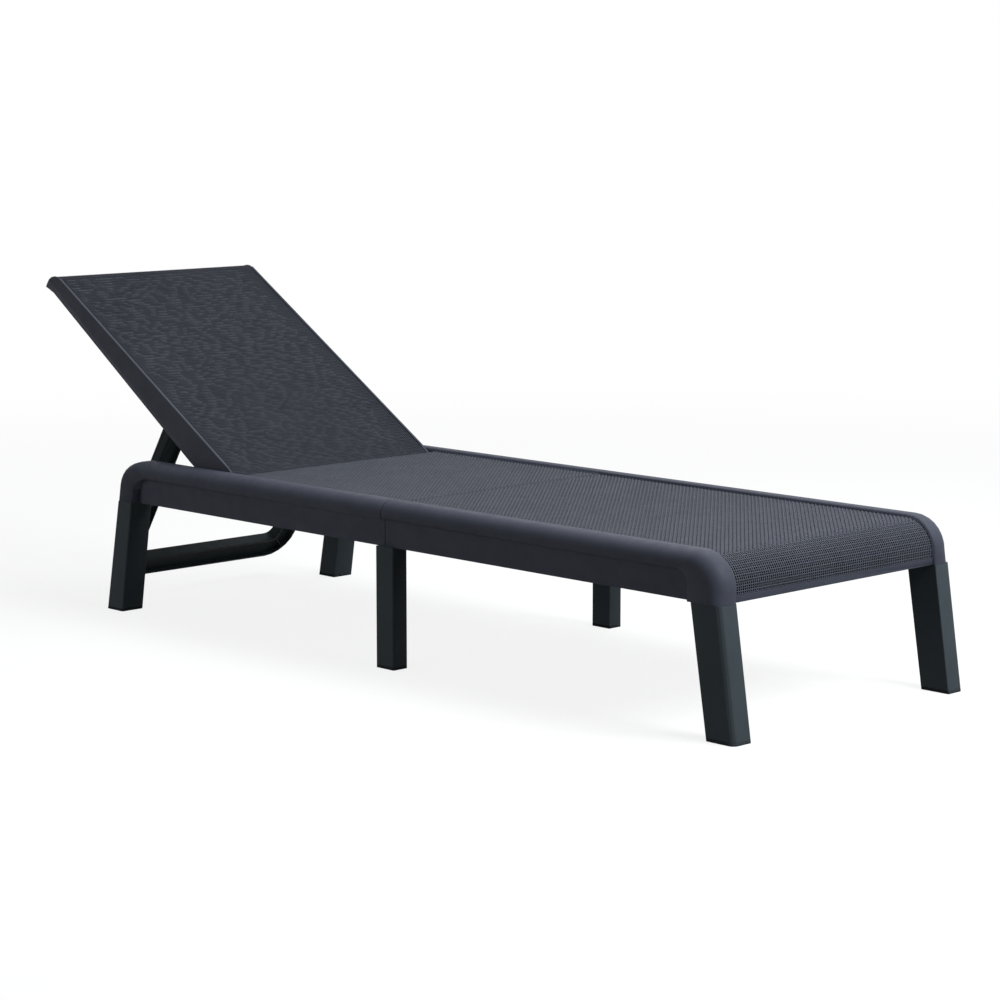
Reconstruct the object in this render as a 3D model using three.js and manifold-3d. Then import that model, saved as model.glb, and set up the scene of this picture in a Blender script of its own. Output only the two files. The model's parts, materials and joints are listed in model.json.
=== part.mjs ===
// Adjustable sun lounger of moulded resin, modelled as the pieces it is put together from.
// Millimetres, +X towards the foot end, +Y to the sitter's left, +Z up.
// The bed is laid out from the head end of its rails, at the top of the legs. The whole is then
// moved so that the origin lies on the floor, under the middle of the lounger at its first recline.

import * as THREE from 'three';
import { mergeVertices } from 'three/addons/utils/BufferGeometryUtils.js';
import Module from 'manifold-3d';

const wasm = await Module();
wasm.setup();

// Bed

const bedLength = 1515;
const bedWidth = 580;
const railHeight = 79;
const legHeight = 213;
const rearHalfLength = 745;
const skin = 3.5;
const deckDrop = 5;

// Rails: a round-topped band that bends down onto the end legs, over a recessed apron

const railWidth = 43;
const bandDrop = 30;
const crownRound = 26;
const crownInnerEdge = 3;
const apronInset = 11;
const rearBend = 57;
const rearInnerBend = 38;
const footBend = 60;
const footInnerBend = 22;
const footBandWidth = 65;
const rearCornerRound = 4;
const footCornerRound = 20;
const recessInset = 17;
const recessLength = 6;
const recessBlend = 14;

// Legs, by the length along the bed at top and foot, the depth across it and the lean in degrees

const rearLeg = { top: 41, foot: 47, depth: 48, outerInset: 0, outerRound: 3, lean: -10 };
const middleLeg = { top: 44, foot: 44, depth: 32, outerInset: 6, outerRound: 3, lean: 0 };
const footLeg = { top: 59, foot: 57, depth: 41, outerInset: 1, outerRound: 11, lean: 9.125 };
const legEdge = 1.5;
const middleLegOffset = 3;
const legWall = 4;
const tenonHeight = 34;
const tenonInset = 11;
const capHeight = 5;
const capPlug = 14;
const lugLength = 20;
const lugHeight = 18;
const lugReach = 8;
const lugDrop = 9;

// Slots and ribs of the decks

const deckBorder = 13;
const slotColumns = 4;
const slotWidth = 5;
const slotBridge = 12;
const slotPitch = 30;
const footSlots = 5;
const ribThickness = 3;
const ribDepth = 16;
const rowsPerRib = 3;
const footLip = 12;

// Backrest, along it from the hinge and square to its top

const hingeX = 280;
const hingeRadius = 25;
const hingeCurl = 58;
const backLength = 632;
const backSideGap = 4;
const backFlatDepth = 6;
const flangeDepth = 57;
const flangeFullReach = 120;
const flangeHeadDepth = 33;
const headNoseReach = 27;
const headNoseDrop = 37;
const rimWidth = 4;
const rimRise = 1.5;
const restRecline = 32;
const deckGap = 2.5;

// Prop: a U-shaped frame that folds up under the backrest

const propPivotReach = 230;
const propLength = 400;
const propSideGap = 24.5;
const propBar = 42;
const propThickness = 23;
const propOuterRound = 57;
const propInnerRound = 18;
const propWall = 4;
const propFrontPocket = 8;
const propRibPitch = 48;
const propBarClearance = 12;
const toothReach = 11;
const toothTip = 3;
const toothHeight = 17;
const toothWidth = 24;
const toothRise = 47;
const stepAngles = [32, 45, 58];

// Tie rod between the rear ends of the rails, which the teeth of the prop rest on

const rodRadius = 5;
const rodX = 14;
const rodClearance = 1.6;
const rodSeat = 11;
const rodBossRadius = 9;

// Pins and screws

const hingePinRadius = 6;
const hingeBossRadius = 12;
const hingeBossDepth = 18;
const hingeEyeDepth = 12;
const propPinRadius = 5;
const propBossRadius = 10;
const propPinBite = 28;
const pinHeadRadius = 9;
const pinHead = 2.4;
const screwRadius = 2.2;
const screwHeadRadius = 4.2;
const screwHead = 2.2;
const screwDriveRadius = 1.6;
const screwDriveDepth = 1.2;
const screwLength = 22;
const legScrewRise = 12;
const legScrewShift = 5;

// Brackets inside the rails, which join the two halves of the bed and hold the middle legs

const bracketLength = 150;
const bracketRise = 8;
const bracketHeight = 50;
const bracketWall = 4;
const bracketEndBlock = 24;

// Fits and fineness

const gap = 0.3;
const runningGap = 0.4;
const seamGap = 1.4;
const overrun = 2;
const roundSteps = 5;
const bendSteps = 7;
const legCornerSteps = 4;
const pinSides = 18;
const screwSides = 10;

// Derived places

const crownHeight = legHeight + railHeight;
const halfWidth = bedWidth / 2;
const railInner = halfWidth - railWidth;
const apronOuter = halfWidth - apronInset;
const bandBottom = crownHeight - bandDrop;
const deckTop = crownHeight - deckDrop;
const hingeZ = deckTop - hingeRadius;
const deckStart = hingeX + hingeRadius + deckGap;
const deckBendStart = bedLength - footBend;
const halfBack = railInner - backSideGap;
const halfProp = halfBack - propSideGap;
const propFold = propThickness / 2;
const middleLegX = rearHalfLength + middleLegOffset;
const tenonInner = railInner + rodSeat + skin;
const tenonOuter = apronOuter - skin - bracketWall - 2 * gap;
const flangeSlope = (flangeDepth - flangeHeadDepth) / (backLength - flangeFullReach);
const flangeLow = hingeRadius - flangeDepth;
const flangeOverRod = flangeLow + flangeSlope * Math.max(0, hingeX - rodX - flangeFullReach);
const rodZ = hingeZ + flangeOverRod - rodClearance - rodRadius;
const pivotX = hingeX - propPivotReach * Math.cos(THREE.MathUtils.degToRad(restRecline));
const pivotZ = hingeZ + propPivotReach * Math.sin(THREE.MathUtils.degToRad(restRecline));

const finishes = {
  moulding: { color: 0x3a3e48, roughness: 0.55, metalness: 0 },
  leg: { color: 0x2b3237, roughness: 0.5, metalness: 0 },
  prop: { color: 0x24292d, roughness: 0.5, metalness: 0 },
  cap: { color: 0x17191b, roughness: 0.8, metalness: 0 },
  bracket: { color: 0x2a2d31, roughness: 0.6, metalness: 0 },
  steel: { color: 0x9a9da0, roughness: 0.35, metalness: 1 },
};

// Solids from geometry and back

function solidOf(geometry) {
  const bare = geometry.clone();
  bare.deleteAttribute('normal');
  bare.deleteAttribute('uv');
  const merged = mergeVertices(bare, 1e-4);
  const triVerts = new Uint32Array(merged.index.array);
  if (enclosedVolume(merged) < 0) triVerts.reverse();
  const vertProperties = new Float32Array(merged.attributes.position.array);
  return new wasm.Manifold(new wasm.Mesh({ numProp: 3, vertProperties, triVerts }));
}

// Negative where the faces point inwards
function enclosedVolume({ index, attributes }) {
  const corner = (place) => (
    new THREE.Vector3().fromBufferAttribute(attributes.position, index.getX(place))
  );
  let volume = 0;
  for (let place = 0; place < index.count; place += 3) {
    volume += corner(place).dot(corner(place + 1).cross(corner(place + 2))) / 6;
  }
  return volume;
}

function geometryOf(solid) {
  const { vertProperties, triVerts } = solid.getMesh();
  const geometry = new THREE.BufferGeometry();
  geometry.setAttribute('position', new THREE.Float32BufferAttribute(vertProperties, 3));
  geometry.setIndex(new THREE.BufferAttribute(new Uint32Array(triVerts), 1));
  return geometry;
}

function join(...solids) {
  return solids.flat(2).reduce((whole, solid) => whole.add(solid));
}

function cut(solid, ...cutters) {
  return solid.subtract(join(...cutters));
}

function mirrored(solid) {
  return solid.mirror([0, 1, 0]);
}

function bothSides(solid) {
  return [solid, mirrored(solid)];
}

// Basic shapes

function block(low, high) {
  const size = high.map((value, axis) => value - low[axis]);
  const middle = high.map((value, axis) => (value + low[axis]) / 2);
  return solidOf(new THREE.BoxGeometry(...size).translate(...middle));
}

function extruded(points, depth) {
  const shape = new THREE.Shape(points.map(([a, b]) => new THREE.Vector2(a, b)));
  return new THREE.ExtrudeGeometry(shape, { depth, bevelEnabled: false });
}

// A side outline of x and z, carried across the bed
function across(points, fromY, toY) {
  return solidOf(extruded(points, toY - fromY).rotateX(Math.PI / 2).translate(0, toY, 0));
}

// A plan outline of x and y, carried upwards
function upright(points, fromZ, toZ) {
  return solidOf(extruded(points, toZ - fromZ).translate(0, 0, fromZ));
}

// A front outline of y and z, carried along the bed
function lengthwise(points, fromX, toX) {
  const turn = new THREE.Matrix4().makeBasis(
    new THREE.Vector3(0, 1, 0),
    new THREE.Vector3(0, 0, 1),
    new THREE.Vector3(1, 0, 0),
  );
  return solidOf(extruded(points, toX - fromX).applyMatrix4(turn).translate(fromX, 0, 0));
}

// A turned piece on an axis across the bed, from its radii and places along that axis
function turned(profile, x, z, sides) {
  const points = profile.map(([radius, y]) => new THREE.Vector2(radius, y));
  return solidOf(new THREE.LatheGeometry(points, sides).translate(x, 0, z));
}

function rod(radius, x, z, fromY, toY) {
  return turned([[0, fromY], [radius, fromY], [radius, toY], [0, toY]], x, z, pinSides);
}

// Convex rings of equal count, skinned in order and closed at both ends
function loft(rings) {
  const count = rings[0].length;
  const last = (rings.length - 1) * count;
  const triangles = [];
  for (let start = 0; start < last; start += count) {
    for (let corner = 0; corner < count; corner += 1) {
      const a = start + corner;
      const b = start + ((corner + 1) % count);
      triangles.push(a, b, b + count, a, b + count, a + count);
    }
  }
  for (let corner = 1; corner + 1 < count; corner += 1) {
    triangles.push(0, corner + 1, corner, last, last + corner, last + corner + 1);
  }
  const geometry = new THREE.BufferGeometry();
  geometry.setAttribute('position', new THREE.Float32BufferAttribute(rings.flat(2), 3));
  geometry.setIndex(triangles);
  return solidOf(geometry);
}

// The round that replaces a corner between two lines
function roundedCorner(before, corner, after, radius, steps) {
  const point = new THREE.Vector2(...corner);
  const back = new THREE.Vector2(...before).sub(point).normalize();
  const ahead = new THREE.Vector2(...after).sub(point).normalize();
  const half = Math.acos(back.dot(ahead)) / 2;
  const centre = back.clone().add(ahead).setLength(radius / Math.sin(half)).add(point);
  const start = back.clone().multiplyScalar(radius / Math.tan(half)).add(point);
  const turn = -Math.sign(back.cross(ahead)) * (Math.PI - 2 * half);
  return Array.from({ length: steps + 1 }, (_, step) => (
    start.clone().rotateAround(centre, (turn * step) / steps).toArray()
  ));
}

function roundedOutline(corners, radii, steps) {
  return corners.flatMap((corner, index) => {
    const before = corners.at(index - 1);
    const after = corners[(index + 1) % corners.length];
    return radii[index] > 0 ? roundedCorner(before, corner, after, radii[index], steps) : [corner];
  });
}

// A line moved over to its right-hand side
function beside(points, distance) {
  return points.map((point, index) => {
    const ends = [[index - 1, index], [index, index + 1]];
    const inside = ends.filter(([from, to]) => from >= 0 && to < points.length);
    const normals = inside.map(([from, to]) => (
      new THREE.Vector2(points[to][1] - points[from][1], points[from][0] - points[to][0]).normalize()
    ));
    const mean = normals.reduce((sum, normal) => sum.clone().add(normal)).clone().normalize();
    return mean.multiplyScalar(distance / mean.dot(normals[0])).toArray()
      .map((shift, axis) => point[axis] + shift);
  });
}

function ribbon(points, thickness) {
  return [...points, ...beside(points, thickness).reverse()];
}

function circlePoint(radius, degrees) {
  const angle = THREE.MathUtils.degToRad(degrees);
  return [radius * Math.sin(angle), radius * Math.cos(angle)];
}

// Places spread evenly between two ends, about one pitch apart
function spread(from, to, pitch) {
  const count = Math.max(1, Math.round((to - from) / pitch));
  return Array.from({ length: count }, (_, index) => from + ((index + 0.5) * (to - from)) / count);
}

function slope(leg) {
  return Math.tan(THREE.MathUtils.degToRad(leg.lean));
}

// Rails

function railCurves(bottom) {
  const leaning = (x, z) => x + (legHeight - z) * slope(rearLeg);
  const curve = (rearX, footX, top, rearRound, footRound) => {
    const ends = [[leaning(rearX, bottom), bottom], [footX, bottom]];
    const corners = [[leaning(rearX, top), top], [footX, top]];
    return [
      ends[0],
      ...roundedCorner(ends[0], corners[0], corners[1], rearRound, bendSteps),
      ...roundedCorner(corners[0], corners[1], ends[1], footRound, bendSteps),
      ends[1],
    ];
  };
  return {
    crown: curve(0, bedLength, crownHeight, rearBend, footBend),
    under: curve(rearLeg.top, bedLength - footBandWidth, bandBottom, rearInnerBend, footInnerBend),
  };
}

function bandRing(crown, under, round, inset) {
  const depth = Math.hypot(under[0] - crown[0], under[1] - crown[1]);
  const place = (y, below) => {
    const share = below / depth;
    const [x, z] = crown.map((value, axis) => value + (under[axis] - value) * share);
    return [x, y, z];
  };
  const [inner, outer] = [railInner + inset, halfWidth - inset];
  const radius = Math.min(round, depth - skin) - inset;
  const outerRound = roundedCorner([inner, inset], [outer, inset], [outer, depth], radius, roundSteps);
  return [
    place(inner, depth - inset),
    place(inner, inset + crownInnerEdge),
    place(inner + crownInnerEdge, inset),
    ...outerRound.map(([y, below]) => place(y, below)),
    place(outer, depth - inset),
  ];
}

function bandRound(index, last) {
  if (index === last) return footCornerRound;
  const share = Math.min(1, Math.max(0, index - 1) / bendSteps);
  return rearCornerRound + (crownRound - rearCornerRound) * share ** 2;
}

function bandSolid(bottom, inset) {
  const { crown, under } = railCurves(bottom);
  const rings = crown.map((point, index) => (
    bandRing(point, under[index], bandRound(index, crown.length - 1), inset)
  ));
  return loft(rings);
}

function apronSolid(bottom, inset) {
  const { crown, under } = railCurves(bottom);
  const middle = crown.map((point, index) => point.map((value, axis) => (value + under[index][axis]) / 2));
  const recessStart = rearLeg.top - overrun - inset;
  const recessEnd = rearLeg.top + recessLength + inset;
  const recess = upright([
    [recessStart, halfWidth - recessInset - inset],
    [recessEnd, halfWidth - recessInset - inset],
    [recessEnd + recessBlend, apronOuter - inset],
    [recessEnd + recessBlend, halfWidth],
    [recessStart, halfWidth],
  ], bottom - overrun, bandBottom + skin / 2 + inset);
  return cut(across(middle, railInner + inset, apronOuter - inset), recess);
}

function railSolid() {
  const below = legHeight - overrun;
  const shell = join(bandSolid(legHeight, 0), apronSolid(legHeight, 0));
  const core = join(bandSolid(below, skin), apronSolid(below, skin));
  const hingeBoss = rod(hingeBossRadius, hingeX, hingeZ, railInner, railInner + hingeBossDepth);
  const rodBoss = rod(rodBossRadius, rodX, rodZ, railInner, railInner + rodSeat + overrun);
  return cut(
    join(cut(shell, core), hingeBoss, rodBoss),
    rod(hingePinRadius + gap, hingeX, hingeZ, railInner - overrun, railInner + hingeBossDepth + overrun),
    rod(rodRadius + gap, rodX, rodZ, railInner - overrun, railInner + rodSeat),
  );
}

// Deck

function slotEdges() {
  const column = (2 * (railInner - deckBorder) + slotBridge) / slotColumns;
  return Array.from({ length: slotColumns }, (_, index) => {
    const start = deckBorder - railInner + index * column;
    return [start, start + column - slotBridge];
  });
}

function bridgeCentres(edges) {
  return edges.slice(1).map(([start]) => start - slotBridge / 2);
}

function deckLine() {
  const corner = [bedLength - deckDrop, deckTop];
  const end = [corner[0], legHeight];
  return [
    [deckStart, deckTop],
    ...roundedCorner([deckStart, deckTop], corner, end, footBend - deckDrop, bendSteps),
    end,
  ];
}

function flatRows() {
  const rear = spread(deckStart + deckBorder, rearHalfLength - deckBorder, slotPitch);
  const front = spread(rearHalfLength + deckBorder, deckBendStart, slotPitch);
  return [...rear, ...front];
}

function flatSlots(rows, edges) {
  return rows.flatMap((x) => edges.map(([start, end]) => block(
    [x - slotWidth / 2, start, deckTop - skin - overrun],
    [x + slotWidth / 2, end, deckTop + overrun],
  )));
}

function bendSlots(edges) {
  return Array.from({ length: footSlots }, (_, index) => 90 * ((index + 0.5) / footSlots))
    .flatMap((angle) => edges.map(([start, end]) => block(
      [footBend - deckDrop - skin - overrun, start, -slotWidth / 2],
      [footBend, end, slotWidth / 2],
    ).rotate([0, -angle, 0]).translate([deckBendStart, 0, crownHeight - footBend])));
}

function crossRib(x, halfReach, top, depth) {
  return block(
    [x - ribThickness / 2, -halfReach, top - skin - depth],
    [x + ribThickness / 2, halfReach, top - skin / 2],
  );
}

function deckSolid() {
  const reach = railInner + skin / 2;
  const line = deckLine();
  const edges = slotEdges();
  const rows = flatRows();
  const sheet = across(ribbon(line, skin), -reach, reach);
  const lengthRibs = bridgeCentres(edges).map((y) => (
    across(ribbon(beside(line, skin / 2), ribDepth), y - ribThickness / 2, y + ribThickness / 2)
  ));
  const pitch = rows[1] - rows[0];
  const crossRibs = rows
    .filter((_, index) => index % rowsPerRib === 1)
    .map((x) => crossRib(x + pitch / 2, reach, deckTop, ribDepth));
  const seamRibs = [-1, 1].map((side) => (
    crossRib(rearHalfLength + (side * ribThickness) / 2, reach, deckTop, ribDepth)
  ));
  const rearLip = block(
    [deckStart, -reach, hingeZ],
    [deckStart + skin, reach, deckTop - skin / 2],
  );
  const footEdge = block(
    [bedLength - deckDrop - footLip, -reach, legHeight],
    [bedLength - deckDrop - skin / 2, reach, legHeight + skin],
  );
  const body = join(sheet, lengthRibs, crossRibs, seamRibs, rearLip, footEdge);
  return cut(body, flatSlots(rows, edges), bendSlots(edges));
}


// Legs, feet and screws

const legPlaces = [
  { end: 'rear', leg: rearLeg, x: rearLeg.top / 2 },
  { end: 'middle', leg: middleLeg, x: middleLegX },
  { end: 'foot', leg: footLeg, x: bedLength - footLeg.top / 2 },
];

function legRing({ leg, x }, z, inset) {
  const share = (legHeight - z) / legHeight;
  const centre = x + (legHeight - z) * slope(leg);
  const half = (leg.top + (leg.foot - leg.top) * share) / 2 - inset;
  const outer = halfWidth - leg.outerInset - inset;
  const inner = outer - leg.depth + 2 * inset;
  const edge = Math.max(legEdge, leg.outerRound - inset);
  const corners = [
    [centre - half, inner],
    [centre + half, inner],
    [centre + half, outer],
    [centre - half, outer],
  ];
  return roundedOutline(corners, [legEdge, legEdge, edge, legEdge], legCornerSteps)
    .map(([cornerX, cornerY]) => [cornerX, cornerY, z]);
}

function tenonSolid({ leg, x }, grown) {
  const ring = (z) => {
    const centre = x + (legHeight - z) * slope(leg);
    const half = leg.top / 2 - tenonInset + grown;
    return [
      [centre - half, tenonInner - grown, z],
      [centre + half, tenonInner - grown, z],
      [centre + half, tenonOuter + grown, z],
      [centre - half, tenonOuter + grown, z],
    ];
  };
  return loft([ring(legHeight - legWall), ring(legHeight + tenonHeight + grown)]);
}

function legScrewPlace({ leg, x }) {
  return [x - legScrewRise * slope(leg) + legScrewShift, legHeight + legScrewRise];
}

function legSolid(place) {
  const shell = loft([legRing(place, legHeight - gap, 0), legRing(place, capHeight + gap, 0)]);
  const core = loft([
    legRing(place, legHeight - legWall, legWall),
    legRing(place, capHeight - overrun, legWall),
  ]);
  const body = cut(join(cut(shell, core), tenonSolid(place, 0)), screwHole(legScrewPlace(place)));
  if (place.leg !== middleLeg) return body;
  const lugY = halfWidth - middleLeg.outerInset - middleLeg.depth;
  const lug = block(
    [place.x - lugLength / 2, lugY - lugReach, legHeight - lugDrop - lugHeight],
    [place.x + lugLength / 2, lugY + legWall / 2, legHeight - lugDrop],
  );
  return join(body, lug);
}

function capSolid(place) {
  const sole = loft([legRing(place, capHeight, 0), legRing(place, 0, 0)]);
  const plug = loft([
    legRing(place, capHeight + capPlug, legWall + gap),
    legRing(place, capHeight / 2, legWall + gap),
  ]);
  return join(sole, plug);
}

// Screws, each driven outwards through the inner wall of a rail

function screwSolid([x, z]) {
  const head = railInner - gap;
  const recess = head - screwHead + screwDriveDepth;
  return turned([
    [0, recess],
    [screwDriveRadius, recess],
    [screwDriveRadius, head - screwHead],
    [screwHeadRadius, head - screwHead],
    [screwHeadRadius, head],
    [screwRadius, head],
    [screwRadius, head + screwLength],
    [0, head + screwLength],
  ], x, z, screwSides);
}

function screwHole([x, z]) {
  return rod(screwRadius + gap, x, z, railInner - overrun, railInner + screwLength + gap);
}

// Brackets

const bracketLow = legHeight + bracketRise;
const bracketHigh = bracketLow + bracketHeight;

function bracketScrewPlaces() {
  const reach = (bracketLength - bracketEndBlock) / 2;
  const z = bracketLow + bracketHeight / 2;
  return [[rearHalfLength - reach, z], [rearHalfLength + reach, z]];
}

function bracketSolid() {
  const place = legPlaces[1];
  const [inner, outer] = [railInner + skin + gap, apronOuter - skin - gap];
  const [start, end] = [-1, 1].map((side) => rearHalfLength + (side * bracketLength) / 2);
  const socket = middleLeg.top / 2 - tenonInset + gap + bracketWall;
  const cavity = (fromX, toX) => block(
    [fromX, inner + bracketWall, bracketLow - overrun],
    [toX, outer - bracketWall, bracketHigh - bracketWall],
  );
  return cut(
    block([start, inner, bracketLow], [end, outer, bracketHigh]),
    tenonSolid(place, gap),
    cavity(start + bracketEndBlock, place.x - socket),
    cavity(place.x + socket, end - bracketEndBlock),
    [legScrewPlace(place), ...bracketScrewPlaces()].map(screwHole),
  );
}

// Bed, cut in two at the seam

function bedHalves() {
  const screws = [...legPlaces.map(legScrewPlace), ...bracketScrewPlaces()].map(screwHole);
  const rail = cut(railSolid(), screws);
  const whole = join(deckSolid(), bothSides(rail));
  const half = (fromX, toX) => whole.intersect(block(
    [fromX, -bedWidth, 0],
    [toX, bedWidth, crownHeight + overrun],
  ));
  return {
    rear: half(-bedLength, rearHalfLength - seamGap / 2),
    foot: half(rearHalfLength + seamGap / 2, 2 * bedLength),
  };
}

// Backrest, laid out flat with its hinge at the origin and its head towards -X

function backLine() {
  const nose = backLength + headNoseReach;
  const tip = [-nose, hingeRadius - headNoseDrop];
  const corner = [-nose, hingeRadius];
  const curl = Array.from({ length: roundSteps + 1 }, (_, step) => (
    circlePoint(hingeRadius, (hingeCurl * step) / roundSteps)
  ));
  return [
    tip,
    ...roundedCorner(tip, corner, [0, hingeRadius], headNoseReach, roundSteps),
    ...curl,
  ];
}

function backSlotEdges() {
  const shift = railInner - halfBack;
  return slotEdges().map(([start, end], index, all) => [
    index === 0 ? start + shift : start,
    index === all.length - 1 ? end - shift : end,
  ]);
}

function backSolid() {
  const line = backLine();
  const edges = backSlotEdges();
  const outline = [
    ...line,
    circlePoint(hingeRadius, 90),
    circlePoint(hingeRadius, 120),
    [0, flangeLow],
    [-flangeFullReach, flangeLow],
    [-backLength, hingeRadius - flangeHeadDepth],
  ];
  const sheet = across(ribbon(line, skin), -halfBack, halfBack);
  const flange = across(outline, halfBack - skin, halfBack);
  const rim = block(
    [-backLength, halfBack - rimWidth, hingeRadius - skin / 2],
    [-hingeRadius, halfBack, hingeRadius + rimRise],
  );
  const eye = rod(hingeBossRadius, 0, 0, halfBack - hingeEyeDepth, halfBack);
  const boss = rod(propBossRadius, -propPivotReach, 0, halfProp + runningGap, halfBack);
  const rows = spread(hingeRadius + deckBorder, backLength - deckBorder, slotPitch);
  const slots = rows.flatMap((reach) => edges.map(([start, end]) => block(
    [-reach - slotWidth / 2, start, hingeRadius - skin - overrun],
    [-reach + slotWidth / 2, end, hingeRadius + overrun],
  )));
  const pitch = rows[1] - rows[0];
  const crossRibs = rows
    .filter((_, index) => index % rowsPerRib === 1 && index + 1 < rows.length)
    .map((reach) => crossRib(-reach - pitch / 2, halfBack - skin / 2, hingeRadius, backFlatDepth));
  const ribEnd = propPivotReach + propLength - propBar - propBarClearance;
  const lengthRibs = bridgeCentres(edges).map((y) => block(
    [-ribEnd, y - ribThickness / 2, hingeRadius - skin - ribDepth],
    [0, y + ribThickness / 2, hingeRadius - skin / 2],
  ));
  const sides = [flange, rim, eye, boss].flatMap(bothSides);
  const holes = [
    rod(hingePinRadius + runningGap, 0, 0, halfBack - hingeEyeDepth - overrun, halfBack + overrun),
    rod(propPinRadius + gap, -propPivotReach, 0, halfProp - overrun, halfBack - skin + gap),
  ].flatMap(bothSides);
  return cut(join(sheet, crossRibs, lengthRibs, sides), slots, holes);
}

// Prop, laid out hanging from its pivot at the origin, with its front towards +X

function propOutline(inset, top) {
  const [outer, inner] = [halfProp - inset, halfProp - propBar + inset];
  const [low, high] = [-propLength + inset, -propLength + propBar - inset];
  const [outerRound, innerRound] = [propOuterRound - inset, propInnerRound + inset];
  return roundedOutline(
    [
      [outer, top],
      [outer, low],
      [-outer, low],
      [-outer, top],
      [-inner, top],
      [-inner, high],
      [inner, high],
      [inner, top],
    ],
    [0, outerRound, outerRound, 0, 0, innerRound, innerRound, 0],
    roundSteps,
  );
}

// The rod as seen from the prop, when the backrest stands on one of its steps
function rodFromProp(angle) {
  const rest = THREE.MathUtils.degToRad(restRecline);
  const [dx, dz] = [rodX - pivotX, rodZ - pivotZ];
  const ahead = dx * Math.cos(rest) - dz * Math.sin(rest);
  const turn = THREE.MathUtils.degToRad(angle);
  const reach = Math.hypot(
    rodX - hingeX + propPivotReach * Math.cos(turn),
    rodZ - hingeZ - propPivotReach * Math.sin(turn),
  );
  return [ahead, -Math.sqrt(reach ** 2 - ahead ** 2)];
}

function toothSolid(angle) {
  const [rodAhead, rodHeight] = rodFromProp(angle);
  const rise = THREE.MathUtils.degToRad(toothRise);
  const clear = rodRadius + gap - (rodAhead - propFold) * Math.sin(rise);
  const root = rodHeight + clear / Math.cos(rise);
  const back = propFold - propFrontPocket - propWall / 2;
  const tip = propFold + toothReach;
  const underside = (x) => root + (x - propFold) * Math.tan(rise);
  return across([
    [back, underside(back)],
    [tip, underside(tip)],
    [tip, underside(tip) + toothTip],
    [propFold, root + toothHeight],
    [back, root + toothHeight],
  ], halfProp - toothWidth, halfProp);
}

function propSolid() {
  const pocketTop = -propFold - propWall;
  const web = [propFold - propFrontPocket - propWall, propFold - propFrontPocket];
  const pocket = (fromX, toX) => lengthwise(propOutline(propWall, pocketTop), fromX, toX);
  const armRibs = spread(propBar - propLength, pocketTop, propRibPitch).map((z) => block(
    [-propThickness, -halfProp, z - ribThickness / 2],
    [web[0], halfProp, z + ribThickness / 2],
  ));
  const barRibs = spread(propBar - halfProp, halfProp - propBar, propRibPitch).map((y) => block(
    [-propThickness, y - ribThickness / 2, -propLength],
    [web[0], y + ribThickness / 2, propBar - propLength],
  ));
  const gusset = block(
    [web[1] - overrun, -propBar, -ribThickness / 2],
    [propThickness, propBar, ribThickness / 2],
  ).rotate([-45, 0, 0]).translate([0, halfProp - propBar / 2, propBar / 2 - propLength]);
  const frame = cut(
    lengthwise(propOutline(0, 0), -propFold, propFold),
    cut(pocket(web[1], propFold + overrun), bothSides(gusset)),
    cut(pocket(-propFold - overrun, web[0]), armRibs, barRibs),
  );
  const eye = rod(propFold, 0, 0, halfProp - propBar, halfProp);
  const hole = rod(
    propPinRadius + runningGap, 0, 0, halfProp - propPinBite - gap, halfProp + overrun,
  );
  const teeth = stepAngles.map(toothSolid);
  return cut(join(frame, [eye, ...teeth].flatMap(bothSides)), bothSides(hole));
}

// Pins and tie rod

function tieRodSolid() {
  const end = railInner + rodSeat - gap;
  return rod(rodRadius, rodX, rodZ, -end, end);
}

function hingePinSolid() {
  const head = halfBack - hingeEyeDepth - runningGap;
  const end = railInner + hingeBossDepth - overrun;
  return turned([
    [0, head - pinHead],
    [pinHeadRadius, head - pinHead],
    [pinHeadRadius, head],
    [hingePinRadius, head],
    [hingePinRadius, end],
    [0, end],
  ], 0, 0, pinSides);
}

function propPinSolid() {
  const [start, end] = [halfProp - propPinBite, halfBack - skin];
  return turned([
    [0, start],
    [propPinRadius, start],
    [propPinRadius, end],
    [0, end],
  ], -propPivotReach, 0, pinSides);
}

// Assembly

const lounger = new THREE.Group();

function addPiece(name, solid, finish) {
  const mesh = new THREE.Mesh(geometryOf(solid), new THREE.MeshStandardMaterial(finishes[finish]));
  mesh.name = name;
  lounger.add(mesh);
}

function addPair(name, solid, finish) {
  addPiece(`${name}_left`, solid, finish);
  addPiece(`${name}_right`, mirrored(solid), finish);
}

function reclined(solid) {
  return solid.rotate([0, restRecline, 0]).translate([hingeX, 0, hingeZ]);
}

const bed = bedHalves();
addPiece('bed_rear', bed.rear, 'moulding');
addPiece('bed_foot', bed.foot, 'moulding');
addPiece('backrest', reclined(backSolid()), 'moulding');
addPiece('prop', reclined(propSolid().translate([-propPivotReach, 0, 0])), 'prop');
addPiece('tie_rod', tieRodSolid(), 'steel');
addPair('hinge_pin', reclined(hingePinSolid()), 'steel');
addPair('prop_pin', reclined(propPinSolid()), 'steel');
for (const place of legPlaces) {
  addPair(`leg_${place.end}`, legSolid(place), 'leg');
  addPair(`foot_cap_${place.end}`, capSolid(place), 'cap');
  addPair(`leg_screw_${place.end}`, screwSolid(legScrewPlace(place)), 'steel');
}
addPair('bracket', bracketSolid(), 'bracket');
bracketScrewPlaces().forEach((place, index) => {
  addPair(`bracket_screw_${['rear', 'foot'][index]}`, screwSolid(place), 'steel');
});

const bounds = new THREE.Box3().setFromObject(lounger);
const centre = bounds.getCenter(new THREE.Vector3());
for (const mesh of lounger.children) mesh.geometry.translate(-centre.x, -centre.y, -bounds.min.z);

export default lounger;
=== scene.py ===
"""Looks of the moulded resin sun lounger, in metres, on the frame of its CAD model."""

import json
import math

import bmesh
import bpy
from mathutils import Matrix, Vector


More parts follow.
